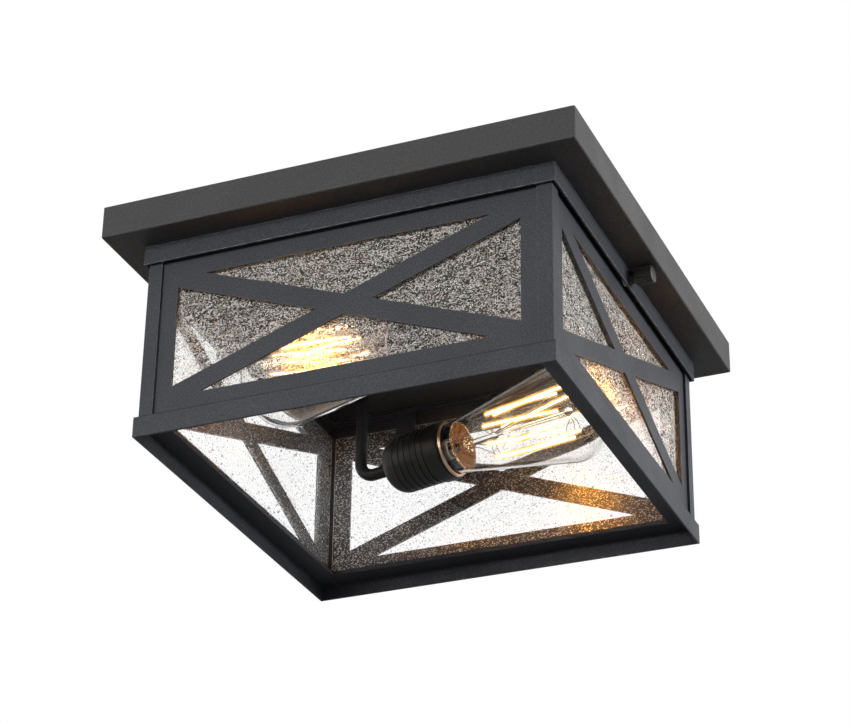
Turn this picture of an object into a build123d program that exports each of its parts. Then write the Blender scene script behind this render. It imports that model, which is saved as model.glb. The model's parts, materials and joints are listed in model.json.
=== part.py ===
from build123d import *
import os
from math import atan2, cos, pi, radians, sin, tan

# Square flush-mount ceiling light with two lamps, seen mostly from below.
# All lengths are millimetres and all angles degrees.
# Z points up, z = 0 is the ceiling plane, and the origin is the middle of the ceiling plane.
# The light hangs below the ceiling, so everything has negative z.
# The front side faces -Y. The rear lamp points along +X and the front lamp along -X.

# Ceiling pan, a shallow folded sheet box open towards the ceiling
pan_side = 304.8
pan_height = 21.7
pan_wall = 1.2
pan_edge_radius = 1.2

# Neck band, a square collar riveted under the pan
pan_overhang = 19.4
band_height = 12.2
band_wall = 1.2
band_flange_width = 9.0
band_edge_radius = 1.0

# Rivets that hold the band to the pan
rivet_radius = 1.6
rivet_head_radius = 3.0
rivet_head_height = 1.4
rivet_round_share = 0.8
rivet_offset = 62.0

# Cage, the removable lower part
cage_clearance = 1.5
cage_height = 127.5
post_width = 9.4
post_wall = 1.7
post_edge_radius = 0.8
top_frame_wall = 1.5
top_frame_width = 7.6
panel_wall = 1.5
window_side_margin = 16.9
window_top_margin = 20.6
window_bottom_margin = 11.4
bar_width = 12.3

# Bottom rails, mitred lengths of angle: an upright skirt and a shelf on its inside
rail_height = 13.4
rail_width = 15.7
rail_step = 1.9
rail_skirt_wall = 1.2
rail_shelf_wall = 2.9
rail_edge_radius = 0.6

# Glass panes that stand on the rails behind the panels
pane_wall = 3.0
pane_top_gap = 11.3
pane_inset = 5.9
pane_end_gap = 2.0

# Clips that hold the tops of the panes
clip_wall = 1.0
clip_width = 14.0
clip_reach = 17.5
clip_foot = 4.6
clip_offset = 68.0

# Crossbar that is screwed to the ceiling box, and the studs that hang the pan from it
crossbar_length = 124.0
crossbar_width = 22.0
crossbar_wall = 2.5
slot_spacing = 88.9
slot_length = 14.0
slot_width = 4.8
stud_radius = 2.0
stud_spacing = 114.0
stud_length = 27.0
stud_chamfer_share = 0.2
cap_nut_flats = 8.0
cap_nut_height = 4.2
cap_nut_dome = 3.4
cap_nut_dome_share = 0.46
cap_nut_round_share = 0.9
ground_screw_radius = 2.4
ground_screw_head_radius = 4.4
ground_screw_head_height = 2.4
ground_screw_offset = 20.0

# Thumbscrews that clamp the cage, one in each side of the band
thumb_shank_radius = 2.0
thumb_collar_radius = 3.9
thumb_collar_length = 3.6
thumb_head_radius = 5.6
thumb_head_length = 11.2
thumb_head_round = 1.0
knurl_count = 20
knurl_depth = 0.55
thumb_washer_radius = 5.0
thumb_washer_wall = 0.9
thumb_nut_radius = 4.4
thumb_nut_wall = 2.4

# Arm tubes that carry the sockets
tube_radius = 4.0
tube_wall = 1.0
tube_bend_radius = 10.5
tube_above_plate = 9.0
arm_straight = 12.95
locknut_flats = 15.0
locknut_height = 3.0
collar_radius = 9.0
collar_height = 2.5

# Where the rear lamp and its arm lie and where the lamp axis points
# The shares place the middle of arm and lamp in x and the socket's mouth in y,
# on the way from centre to pane
# The front socket and lamp are the same ones turned half a turn about Z
lamp_middle_share = 0.066234
mouth_side_share = 0.547386
mouth_drop = 88.2
lamp_turn = -8.4
lamp_tilt = 3.9

# Lamp socket, measured back from its mouth along the lamp axis
rim_radius = 18.3
rim_width = 1.5
rim_length = 1.6
socket_radius = 18.7
socket_mouth_radius = 18.5
socket_collar_radius = 19.6
socket_collar_start = 3.0
socket_collar_length = 7.0
socket_groove_count = 6
socket_groove_pitch = 4.4
socket_groove_width = 1.3
socket_groove_depth = 0.6
socket_groove_start = 12.6
socket_dome_length = 11.5
socket_rear_radius = 10.0
socket_dome_bulge = 2.5
socket_back_wall = 4.3
recess_radius = 16.9
recess_depth = 12.0
screw_shell_wall = 0.4
screw_shell_length = 24.0
socket_base_length = 3.0
contact_radius = 3.0
contact_length = 1.5

# Lamp, a long clear bulb with a medium screw cap
thread_pitch = 3.63
thread_turns = 5
thread_crest_start_share = 0.35
thread_crest_end_share = 0.65
cap_crest_radius = 12.9
cap_root_radius = 12.2
cap_collar_length = 2.4
cap_wall = 0.5
thread_clearance = 0.3
insulator_length = 4.4
insulator_tip_radius = 6.0
tip_radius = 4.0
tip_length = 1.8
tip_taper_share = 0.7
neck_radius = 13.9
bulb_cone_length = 92.0
bulb_cone_angle = 11.5
bulb_length = 120.0
bulb_shoulder_radius = 20.0
glass_wall = 0.9

# Glass stem, support wires and filament inside the bulb
stem_flare_radius = 12.0
stem_flare_length = 16.0
stem_tube_radius = 2.2
stem_tube_length = 26.0
stem_rod_radius = 1.1
stem_rod_length = 54.0
bead_radius = 3.0
strand_count = 8
strand_radius = 0.5
strand_low_ring = 15.0
strand_high_ring = 13.0
wire_radius = 0.3

# Clearances
seat_gap = 0.3
hole_clearance = 0.2
fit_clearance = 0.05
overrun = 5.0

# Levels and planes worked out from the sizes
plate_top = pan_wall - pan_height
plate_under = -pan_height
band_half = pan_side / 2 - pan_overhang
band_inner = band_half - band_wall
band_bottom = plate_under - band_height
flange_under = plate_under - band_wall
cage_top = flange_under - seat_gap
cage_bottom = cage_top - cage_height
cage_half = band_inner - cage_clearance
panel_outer = cage_half - post_wall
panel_inner = panel_outer - panel_wall
top_frame_under = cage_top - top_frame_wall
rail_top = cage_bottom + rail_height
rail_outer = cage_half + rail_step
rail_inner = rail_outer - rail_width
pane_inner = rail_inner + pane_inset
pane_outer = pane_inner + pane_wall
pane_top = top_frame_under - pane_top_gap
window_top = top_frame_under - window_top_margin
window_bottom = rail_top + window_bottom_margin
thumb_level = (plate_under + band_bottom) / 2
thumb_tip = panel_outer + seat_gap
cap_length = cap_collar_length + thread_turns * thread_pitch
contact_depth = recess_depth + cap_length + insulator_length + tip_length
socket_bore_depth = contact_depth + contact_length + socket_base_length
socket_length = socket_bore_depth + socket_back_wall
socket_dome_start = socket_length - socket_dome_length
arm_reach = socket_length + arm_straight + tube_bend_radius

parts = {}


def block(low, high):
    """Box between two opposite corners."""
    size = [high[i] - low[i] for i in range(3)]
    middle = [(high[i] + low[i]) / 2 for i in range(3)]
    return Pos(*middle) * Box(*size)


def round_bar(radius, low, high):
    """Upright cylinder between two levels."""
    return Pos(0, 0, (low + high) / 2) * Cylinder(radius, high - low)


def tube(outer, inner, low, high):
    """Upright tube between two levels."""
    return round_bar(outer, low, high) - round_bar(inner, low - overrun, high + overrun)


def hexagon(flats, low, high):
    """Upright hexagonal bar between two levels."""
    outline = RegularPolygon(flats / 2, 6, major_radius=False)
    return extrude(Plane.XY.offset(low) * outline, high - low)


def at_quarter(shape, number):
    """The shape turned by a number of quarter turns about Z."""
    return Rot(0, 0, 90 * number) * shape


def keep(name, shape):
    """Puts a piece in the list of nodes."""
    parts[name] = shape


def turned_profile(points):
    """Solid made by turning a closed outline of (along, radius) points about the X axis."""
    face = make_face(Plane.XZ * Polyline(*points, close=True))
    return revolve(face, Axis.X)


def ceiling_pan():
    """Folded sheet pan with the holes for the arms, the studs and the rivets."""
    half = pan_side / 2
    outside = block((-half, -half, -pan_height), (half, half, 0))
    low_edges = outside.edges().group_by(Axis.Z)[0]
    upright_edges = outside.edges().filter_by(Axis.Z)
    outside = fillet(low_edges + upright_edges, pan_edge_radius)
    inner = half - pan_wall
    inside = block((-inner, -inner, plate_top), (inner, inner, overrun))
    pan = outside - inside
    for x, y in arm_places():
        pan -= Pos(x, y, 0) * round_bar(tube_radius + hole_clearance, plate_under - overrun, overrun)
    for x in (-stud_spacing / 2, stud_spacing / 2):
        pan -= Pos(x, 0, 0) * round_bar(stud_radius + hole_clearance, plate_under - overrun, overrun)
    for x, y in rivet_places():
        pan -= Pos(x, y, 0) * round_bar(rivet_radius + fit_clearance, plate_under - overrun, overrun)
    return pan


def neck_band():
    """Square collar with an inward flange that lies against the pan."""
    outside = block((-band_half, -band_half, band_bottom), (band_half, band_half, plate_under))
    outside = fillet(outside.edges().filter_by(Axis.Z), band_edge_radius)
    below = band_bottom - overrun
    under_flange = block((-band_inner, -band_inner, below), (band_inner, band_inner, flange_under))
    opening = band_inner - band_flange_width
    through = block((-opening, -opening, below), (opening, opening, overrun))
    band = outside - under_flange - through
    for x, y in rivet_places():
        band -= Pos(x, y, 0) * round_bar(rivet_radius + fit_clearance, below, overrun)
    for side in (0, 2):
        band -= at_quarter(thumb_axis_bar(thumb_shank_radius + fit_clearance, 0, pan_side), side)
    return band


def rivet_places():
    """Centres of the eight rivets, two on each side of the band's flange."""
    line = band_inner - band_flange_width / 2
    places = []
    for along in (-rivet_offset, rivet_offset):
        places += [(along, -line), (along, line), (-line, along), (line, along)]
    return places


def band_rivets():
    """Rivets with a round head above the plate and a flush end under the flange."""
    shank = round_bar(rivet_radius, flange_under, plate_top)
    head = round_bar(rivet_head_radius, plate_top, plate_top + rivet_head_height)
    head = fillet(head.edges().group_by(Axis.Z)[-1], rivet_head_height * rivet_round_share)
    return Compound([Pos(x, y, 0) * (shank + head) for x, y in rivet_places()])


def crossbar():
    """Flat bar with two slots for the box screws and tapped holes for the studs."""
    half = crossbar_length / 2
    bar = block((-half, -crossbar_width / 2, -crossbar_wall), (half, crossbar_width / 2, 0))
    bar = fillet(bar.edges().filter_by(Axis.Z), crossbar_width / 4)
    slot = Plane.XY.offset(-crossbar_wall - overrun) * SlotOverall(slot_length, slot_width)
    slot = extrude(slot, crossbar_wall + overrun * 2)
    for x in (-slot_spacing / 2, slot_spacing / 2):
        bar -= Pos(x, 0, 0) * slot
    for x in (-stud_spacing / 2, stud_spacing / 2):
        bar -= Pos(x, 0, 0) * round_bar(stud_radius + fit_clearance, -crossbar_wall - overrun, overrun)
    bar -= Pos(ground_screw_offset, 0, 0) * round_bar(
        ground_screw_radius + fit_clearance, -crossbar_wall - overrun, overrun
    )
    return bar


def mounting_studs():
    """Two threaded studs that hang from the crossbar."""
    stud = round_bar(stud_radius, -stud_length, 0)
    stud = chamfer(stud.edges().group_by(Axis.Z)[0], stud_radius * stud_chamfer_share)
    return Compound([Pos(x, 0, 0) * stud for x in (-stud_spacing / 2, stud_spacing / 2)])


def cap_nuts():
    """Two domed nuts under the plate that hold the pan up on its studs."""
    hex_end = plate_under - cap_nut_height
    nut = hexagon(cap_nut_flats, hex_end, plate_under)
    dome = round_bar(cap_nut_flats * cap_nut_dome_share, hex_end - cap_nut_dome, hex_end)
    dome = fillet(dome.edges().group_by(Axis.Z)[0], cap_nut_dome * cap_nut_round_share)
    nut = nut + dome
    nut -= round_bar(stud_radius + fit_clearance, -stud_length - seat_gap, overrun)
    return Compound([Pos(x, 0, 0) * nut for x in (-stud_spacing / 2, stud_spacing / 2)])


def ground_screw():
    """Hexagon-headed earth screw in the crossbar, with its head on the underside."""
    shank = round_bar(ground_screw_radius, -crossbar_wall, 0)
    head = hexagon(ground_screw_head_radius * 2, -crossbar_wall - ground_screw_head_height, -crossbar_wall)
    return Pos(ground_screw_offset, 0, 0) * (shank + head)


def thumb_axis_bar(radius, start, end):
    """Cylinder along +X at the thumbscrews' level."""
    bar = Rot(0, 90, 0) * Cylinder(radius, end - start)
    return Pos((start + end) / 2, 0, thumb_level) * bar


def thumb_nuts():
    """Round clinch nuts inside the band."""
    nut = thumb_axis_bar(thumb_nut_radius, band_inner - thumb_nut_wall, band_inner)
    nut -= thumb_axis_bar(thumb_shank_radius + fit_clearance, 0, pan_side)
    return Compound([at_quarter(nut, 0), at_quarter(nut, 2)])


def thumb_washer():
    """Captive washer between the thumbscrew's collar and the band."""
    washer = thumb_axis_bar(thumb_washer_radius, band_half, band_half + thumb_washer_wall)
    return washer - thumb_axis_bar(thumb_shank_radius + fit_clearance, 0, pan_side)


def thumbscrew():
    """Thumbscrew with a plain shank, a collar and a fluted head."""
    collar_start = band_half + thumb_washer_wall
    head_start = collar_start + thumb_collar_length
    head_end = head_start + thumb_head_length
    screw = thumb_axis_bar(thumb_shank_radius, thumb_tip, collar_start)
    screw += thumb_axis_bar(thumb_collar_radius, collar_start, head_start)
    head = thumb_axis_bar(thumb_head_radius, head_start, head_end)
    head = fillet(head.edges().filter_by(GeomType.CIRCLE), thumb_head_round)
    flute = thumb_axis_bar(knurl_depth, head_start - overrun, head_end + overrun)
    flute = Pos(0, 0, thumb_head_radius) * flute
    axis = Axis((0, 0, thumb_level), (1, 0, 0))
    for number in range(knurl_count):
        head -= flute.rotate(axis, 360 / knurl_count * number)
    return screw + head


def corner_post():
    """Angle post at the corner where x and y are both positive."""
    inner = cage_half - post_wall
    start = cage_half - post_width
    post = block((start, start, rail_top), (cage_half, cage_half, cage_top))
    post = fillet(post.edges().filter_by(Axis.Z).sort_by(Axis((0, 0, 0), (1, 1, 0)))[-1], post_edge_radius)
    return post - block((0, 0, cage_bottom), (inner, inner, overrun))


def window_cuts(thickness_from, thickness_to):
    """The four triangular windows that leave the crossed bars of the front panel."""
    half_width = panel_inner - window_side_margin
    half_height = (window_top - window_bottom) / 2
    centre = (window_top + window_bottom) / 2
    slope = atan2(half_height, half_width)
    rise = bar_width / 2 / cos(slope)
    run = bar_width / 2 / sin(slope)
    side = [(half_width, half_height - rise), (half_width, rise - half_height), (run, 0)]
    top = [(run - half_width, half_height), (half_width - run, half_height), (0, rise)]
    outlines = [side, [(-x, z) for x, z in side], top, [(x, -z) for x, z in top]]
    cuts = []
    for outline in outlines:
        points = [(x, thickness_from, centre + z) for x, z in outline]
        face = make_face(Polyline(*points, close=True))
        cuts.append(extrude(face, thickness_to - thickness_from, dir=(0, 1, 0)))
    return cuts


def crossed_panel():
    """Front sheet panel with its windows."""
    half = panel_inner - hole_clearance
    panel = block((-half, -panel_outer, rail_top), (half, -panel_inner, top_frame_under))
    for cut in window_cuts(-panel_outer - overrun, overrun - panel_inner):
        panel -= cut
    return panel


def glass_pane():
    """Front pane, standing on the bottom rail."""
    half = pane_inner - pane_end_gap
    return block((-half, -pane_outer, rail_top), (half, -pane_inner, pane_top))


def bottom_rail():
    """Front bottom rail, a skirt and a shelf on its inside, with mitred ends."""
    half = rail_outer
    bar = block((-half, -rail_outer, cage_bottom), (half, -rail_inner, rail_top))
    bar = fillet(bar.edges().filter_by(Axis.X), rail_edge_radius)
    under_shelf = block(
        (-half - overrun, rail_skirt_wall - rail_outer, cage_bottom - overrun),
        (half + overrun, overrun - rail_inner, rail_top - rail_shelf_wall),
    )
    beyond = rail_outer + overrun
    mitre = make_face(Polyline((0, 0), (-beyond, -beyond), (beyond, -beyond), close=True))
    wedge = extrude(Plane.XY.offset(cage_bottom - overrun) * mitre, cage_height)
    return (bar - under_shelf) & wedge


def cage_top_frame():
    """Flat square frame that ties the tops of the panels and posts together."""
    outer = panel_outer
    inner = panel_outer - top_frame_width
    frame = block((-outer, -outer, top_frame_under), (outer, outer, cage_top))
    return frame - block((-inner, -inner, cage_bottom), (inner, inner, overrun))


def pane_clips():
    """Two angle clips for each pane, fixed under the top frame."""
    face = pane_inner - seat_gap
    half = clip_width / 2
    tab = block((-half, -face, top_frame_under - clip_reach), (half, clip_wall - face, top_frame_under))
    foot = block((-half, -face - clip_foot, top_frame_under - clip_wall), (half, -face, top_frame_under))
    clip = tab + foot
    clips = []
    for number in range(4):
        for along in (-clip_offset, clip_offset):
            clips.append(at_quarter(Pos(along, 0, 0) * clip, number))
    return Compound(clips)


def lamp_direction():
    """Unit vector along the rear lamp's axis, out of its socket."""
    level = cos(radians(lamp_tilt))
    turn = radians(lamp_turn)
    return Vector(level * cos(turn), level * sin(turn), sin(radians(lamp_tilt)))


def mouth():
    """Middle of the rear socket's mouth."""
    middle_ahead = (cap_front() + bulb_length - arm_reach) / 2
    x = pane_inner * lamp_middle_share - middle_ahead * lamp_direction().X
    return Vector(x, pane_inner * mouth_side_share, -mouth_drop)


def lamp_place():
    """Place of the rear socket's mouth, with local X along the lamp axis, out of the mouth."""
    return Pos(mouth()) * Rot(0, 0, lamp_turn) * Rot(0, -lamp_tilt, 0)


def arm_corner():
    """Point where the upright part of the rear arm meets the lamp axis."""
    return mouth() - lamp_direction() * arm_reach


def arm_places():
    """Where the two arms pass through the pan's plate."""
    corner = arm_corner()
    return [(corner.X, corner.Y), (-corner.X, -corner.Y)]


def arm_tube():
    """Rear arm, a bent tube from the pan to the back of the socket."""
    corner = arm_corner()
    top = Vector(corner.X, corner.Y, plate_top + tube_above_plate)
    end = mouth() - lamp_direction() * (socket_bore_depth + seat_gap)
    route = FilletPolyline(top, corner, end, radius=tube_bend_radius)
    section = Plane(origin=top, z_dir=(0, 0, -1)) * (Circle(tube_radius) - Circle(tube_radius - tube_wall))
    return sweep(section, path=route)


def arm_locknuts():
    """Hexagon nuts on the arms above the plate."""
    nut = hexagon(locknut_flats, plate_top, plate_top + locknut_height)
    nut -= round_bar(tube_radius + fit_clearance, plate_under, overrun)
    return Compound([Pos(x, y, 0) * nut for x, y in arm_places()])


def arm_collars():
    """Round collars on the arms under the plate."""
    collar = tube(collar_radius, tube_radius + fit_clearance, plate_under - collar_height, plate_under)
    collar = fillet(collar.edges().group_by(Axis.Z)[0].sort_by(SortBy.RADIUS)[-1], collar_height / 3)
    return Compound([Pos(x, y, 0) * collar for x, y in arm_places()])


def screw_shell_outer():
    """Largest radius of the brass screw shell."""
    return cap_crest_radius + thread_clearance + (cap_crest_radius - cap_root_radius) + screw_shell_wall


def socket_shell():
    """Moulded socket body with a collar, ring grooves and a domed back."""
    front = -rim_length
    collar_front = -socket_collar_start
    collar_back = collar_front - socket_collar_length
    dome_start = Vector(-socket_dome_start, socket_radius)
    dome_end = Vector(-socket_length, socket_rear_radius)
    chord = dome_end - dome_start
    outwards = Vector(-chord.Y, chord.X).normalized() * -socket_dome_bulge
    middle = (dome_start + dome_end) * 0.5 + outwards
    inner = screw_shell_outer() + fit_clearance
    bore = tube_radius + fit_clearance
    before_dome = Polyline(
        (-socket_length, bore),
        (-socket_bore_depth, bore),
        (-socket_bore_depth, inner),
        (-recess_depth, inner),
        (-recess_depth, recess_radius),
        (front, recess_radius),
        (front, socket_mouth_radius),
        (collar_front, socket_mouth_radius),
        (collar_front, socket_collar_radius),
        (collar_back, socket_collar_radius),
        (collar_back, socket_radius),
        (-socket_dome_start, socket_radius),
    )
    dome = ThreePointArc(dome_start, middle, dome_end)
    back = Line(dome_end, (-socket_length, bore))
    shell = revolve(make_face(Plane.XZ * Wire(before_dome.edges() + [dome, back])), Axis.X)
    floor = socket_radius - socket_groove_depth
    lip = socket_radius + overrun
    for number in range(socket_groove_count):
        near = -socket_groove_start - number * socket_groove_pitch
        far = near - socket_groove_width
        shell -= turned_profile([(far, floor), (far, lip), (near, lip), (near, floor)])
    return shell


def socket_rim():
    """Bare metal ring at the mouth of the socket."""
    inner = rim_radius - rim_width
    return turned_profile([(-rim_length, inner), (-rim_length, rim_radius), (0, rim_radius), (0, inner)])


def thread_outline(start, crest, root):
    """Points of a ring thread's outline, from its front end back."""
    points = [(start, root)]
    for turn in range(thread_turns):
        front = start - turn * thread_pitch
        points.append((front - thread_pitch * thread_crest_start_share, crest))
        points.append((front - thread_pitch * thread_crest_end_share, crest))
        points.append((front - thread_pitch, root))
    return points


def screw_shell():
    """Brass shell with ring threads that the lamp's cap sits in."""
    root = cap_root_radius + thread_clearance + (cap_crest_radius - cap_root_radius)
    crest = root + (cap_crest_radius - cap_root_radius)
    front = -recess_depth
    back = front - screw_shell_length
    inside = [(front, root)] + thread_outline(front - cap_collar_length, crest, root) + [(back, root)]
    outside = [(along, radius + screw_shell_wall) for along, radius in reversed(inside)]
    return turned_profile(inside + outside)


def socket_base():
    """Insulating disc at the bottom of the socket."""
    outer = screw_shell_outer()
    back = -socket_bore_depth
    front = back + socket_base_length
    return turned_profile([(back, 0), (front, 0), (front, outer), (back, outer)])


def cap_front():
    """Where the lamp's cap meets the glass, along the lamp axis."""
    return seat_gap - recess_depth


def cap_back():
    """Back end of the lamp's threaded cap, along the lamp axis."""
    return cap_front() - cap_length


def contact():
    """Centre contact that stands on the insulating disc and nearly meets the lamp's tip."""
    back = -contact_depth - contact_length
    front = -contact_depth
    return turned_profile([(back, 0), (front, 0), (front, contact_radius), (back, contact_radius)])


def lamp_cap():
    """Threaded metal cap of the lamp, open at both ends."""
    outside = [(cap_front(), cap_root_radius)]
    outside += thread_outline(cap_front() - cap_collar_length, cap_crest_radius, cap_root_radius)
    inner = cap_root_radius - cap_wall
    return turned_profile(outside + [(cap_back(), inner), (cap_front(), inner)])


def cap_insulator():
    """Tapered glass insulator at the back of the lamp's cap."""
    front = cap_back()
    back = front - insulator_length
    return turned_profile([(front, 0), (front, cap_root_radius), (back, insulator_tip_radius), (back, 0)])


def tip_contact():
    """Contact button at the very back of the lamp."""
    front = cap_back() - insulator_length
    back = front - tip_length
    return turned_profile([(front, 0), (front, tip_radius), (back, tip_radius * tip_taper_share), (back, 0)])


def bulb_outline(offset):
    """Edges of the bulb's outline, offset inwards: a cone, a shoulder arc and a crown arc."""
    angle = radians(bulb_cone_angle)
    start = Vector(cap_front(), neck_radius - offset / cos(angle))
    cone_end = Vector(
        cap_front() + bulb_cone_length + offset * sin(angle),
        neck_radius + bulb_cone_length * tan(angle) - offset * cos(angle),
    )
    shoulder = bulb_shoulder_radius - offset
    centre = cone_end + Vector(sin(angle), -cos(angle)) * shoulder
    tip = cap_front() + bulb_length - offset
    back_off = centre.X - tip
    crown = (back_off**2 + centre.Y**2 - shoulder**2) / (-2 * (back_off + shoulder))
    crown_centre = Vector(tip - crown, 0)
    outwards = (centre - crown_centre).normalized()
    join = crown_centre + outwards * crown
    start_angle = radians(90 + bulb_cone_angle)
    join_angle = atan2(outwards.Y, outwards.X)
    middle_angle = (start_angle + join_angle) / 2
    shoulder_middle = centre + Vector(cos(middle_angle), sin(middle_angle)) * shoulder
    crown_middle = crown_centre + Vector(cos(join_angle / 2), sin(join_angle / 2)) * crown
    return [
        Line(start, cone_end),
        ThreePointArc(cone_end, shoulder_middle, join),
        ThreePointArc(join, crown_middle, Vector(tip, 0)),
    ]


def bulb_glass():
    """Thin glass envelope, open at the neck."""
    outer = bulb_outline(0)
    inner = bulb_outline(glass_wall)
    neck = Line(outer[0] @ 0, inner[0] @ 0)
    tip = Line(outer[2] @ 1, inner[2] @ 1)
    return revolve(make_face(Plane.XZ * Wire(outer + inner + [neck, tip])), Axis.X)


def stem_tube_end():
    """Front end of the stem's tube, along the lamp axis."""
    return cap_front() + stem_flare_length + stem_tube_length


def glass_stem():
    """Stem that flares out to the neck, with a tube, two beads and a thin rod."""
    flare_start = cap_front() + fit_clearance
    tube_start = cap_front() + stem_flare_length
    rod_end = stem_tube_end() + stem_rod_length
    outline = Polyline(
        (flare_start, 0),
        (flare_start, stem_flare_radius),
        (flare_start + glass_wall, stem_flare_radius),
        (tube_start, stem_tube_radius),
        (stem_tube_end(), stem_tube_radius),
        (stem_tube_end(), stem_rod_radius),
        (rod_end, stem_rod_radius),
        (rod_end, 0),
        close=True,
    )
    stem = revolve(make_face(Plane.XZ * outline), Axis.X)
    for along in (stem_tube_end(), rod_end):
        stem += Pos(along, 0, 0) * Sphere(bead_radius)
    return stem


def rod_between(start, end, radius):
    """Straight round rod between two points."""
    axis = end - start
    return extrude(Plane(origin=start, z_dir=axis) * Circle(radius), axis.length)


def strand_ends(number):
    """Low and high end of one filament strand, on two rings round the stem."""
    low_angle = 2 * pi / strand_count * number
    high_angle = low_angle + pi / strand_count
    low = Vector(stem_tube_end(), strand_low_ring * cos(low_angle), strand_low_ring * sin(low_angle))
    rod_end = stem_tube_end() + stem_rod_length
    high = Vector(rod_end, strand_high_ring * cos(high_angle), strand_high_ring * sin(high_angle))
    return low, high


def filament():
    """Straight glowing strands round the stem."""
    strands = []
    for number in range(strand_count):
        low, high = strand_ends(number)
        strands.append(rod_between(low, high, strand_radius))
    return Compound(strands)


def support_wires():
    """Spokes from the stem's beads to the ends of the strands."""
    wires = []
    for number in range(strand_count):
        for end in strand_ends(number):
            outwards = Vector(0, end.Y, end.Z).normalized()
            bead = Vector(end.X, 0, 0) + outwards * (bead_radius + fit_clearance)
            reach = end - outwards * (strand_radius + fit_clearance * 4)
            wires.append(rod_between(bead, reach, wire_radius))
    return Compound(wires)


keep("ceiling_pan", ceiling_pan())
keep("neck_band", neck_band())
keep("band_rivets", band_rivets())
keep("crossbar", crossbar())
keep("mounting_studs", mounting_studs())
keep("cap_nuts", cap_nuts())
keep("ground_screw", ground_screw())
keep("thumb_nuts", thumb_nuts())
keep("arm_locknuts", arm_locknuts())
keep("arm_collars", arm_collars())

for side, number in (("right", 0), ("left", 2)):
    keep(f"thumb_washer_{side}", at_quarter(thumb_washer(), number))
    keep(f"thumbscrew_{side}", at_quarter(thumbscrew(), number))

for side, number in (("front", 0), ("right", 1), ("back", 2), ("left", 3)):
    keep(f"crossed_panel_{side}", at_quarter(crossed_panel(), number))
    keep(f"glass_pane_{side}", at_quarter(glass_pane(), number))
    keep(f"bottom_rail_{side}", at_quarter(bottom_rail(), number))

for corner, number in (("back_right", 0), ("back_left", 1), ("front_left", 2), ("front_right", 3)):
    keep(f"corner_post_{corner}", at_quarter(corner_post(), number))

keep("cage_top_frame", cage_top_frame())
keep("pane_clips", pane_clips())

for which, number in (("rear", 0), ("front", 2)):
    keep(f"arm_tube_{which}", at_quarter(arm_tube(), number))
    along_lamp = {
        "socket_shell": socket_shell(),
        "socket_rim": socket_rim(),
        "screw_shell": screw_shell(),
        "socket_base": socket_base(),
        "centre_contact": contact(),
        "lamp_cap": lamp_cap(),
        "cap_insulator": cap_insulator(),
        "tip_contact": tip_contact(),
        "bulb_glass": bulb_glass(),
        "glass_stem": glass_stem(),
        "support_wires": support_wires(),
        "filament": filament(),
    }
    for name, shape in along_lamp.items():
        keep(f"{name}_{which}", at_quarter(lamp_place() * shape, number))

os.makedirs("parts", exist_ok=True)
for name, shape in parts.items():
    export_step(shape, f"parts/{name}.step")
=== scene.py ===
import json
import math
import bpy
import numpy as np
from mathutils import Matrix, Vector


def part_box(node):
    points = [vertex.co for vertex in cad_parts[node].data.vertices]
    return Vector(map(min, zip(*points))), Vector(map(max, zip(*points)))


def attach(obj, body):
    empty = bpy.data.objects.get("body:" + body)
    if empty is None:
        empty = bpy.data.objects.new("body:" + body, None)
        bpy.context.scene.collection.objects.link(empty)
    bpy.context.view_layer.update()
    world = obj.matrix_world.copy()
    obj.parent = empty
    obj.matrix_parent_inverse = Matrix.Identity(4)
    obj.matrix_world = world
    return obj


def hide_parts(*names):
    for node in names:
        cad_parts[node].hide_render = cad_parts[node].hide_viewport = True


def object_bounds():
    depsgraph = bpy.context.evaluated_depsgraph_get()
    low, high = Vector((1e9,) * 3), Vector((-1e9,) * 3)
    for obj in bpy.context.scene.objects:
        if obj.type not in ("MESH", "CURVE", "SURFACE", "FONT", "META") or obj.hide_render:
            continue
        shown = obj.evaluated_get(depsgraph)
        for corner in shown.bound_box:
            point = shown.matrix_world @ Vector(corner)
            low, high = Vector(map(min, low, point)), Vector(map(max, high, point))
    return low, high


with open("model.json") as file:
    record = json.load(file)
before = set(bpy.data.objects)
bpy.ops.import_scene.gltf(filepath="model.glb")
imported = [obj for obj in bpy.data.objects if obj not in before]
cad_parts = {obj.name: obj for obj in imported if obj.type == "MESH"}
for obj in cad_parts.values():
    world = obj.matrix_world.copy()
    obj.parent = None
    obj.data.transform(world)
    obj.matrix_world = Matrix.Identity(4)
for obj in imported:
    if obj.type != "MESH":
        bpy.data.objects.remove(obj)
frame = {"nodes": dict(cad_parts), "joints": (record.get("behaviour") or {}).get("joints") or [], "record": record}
cad_low, cad_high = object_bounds()

mm = 0.001
sides = ("front", "right", "back", "left")
lamps = ("rear", "front")

# The photograph's camera, solved from the edges of the pan and the cage
camera_place = Vector((0.5495, -1.2942, -0.8133))
camera_heading = math.radians(-23.106)
camera_pitch = math.radians(28.175)
camera_roll = math.radians(0.867)
camera_lens = 107.8
camera_sensor = 36.0


# Nodes


def feed(tree, socket, value):
    """Links a socket to another node's output, or sets it to a number, vector or opaque colour."""
    if isinstance(value, bpy.types.NodeSocket):
        tree.links.new(value, socket)
    elif socket.type == "RGBA":
        socket.default_value = (*value, 1.0)
    else:
        socket.default_value = value


def add(tree, kind, inputs=None, **settings):
    """Adds a node; its inputs go by the socket's name or number."""
    made = tree.nodes.new(kind)
    for name, value in settings.items():
        setattr(made, name, value)
    for name, value in (inputs or {}).items():
        feed(tree, made.inputs[name], value)
    return made


def join(tree, node, **sockets):
    """Sets or links a node's inputs, whose names have underscores for blanks."""
    for name, value in sockets.items():
        feed(tree, node.inputs[name.replace("_", " ")], value)


def object_place(tree):
    """Object coordinates, in metres."""
    return add(tree, "ShaderNodeTexCoord").outputs["Object"]


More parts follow.
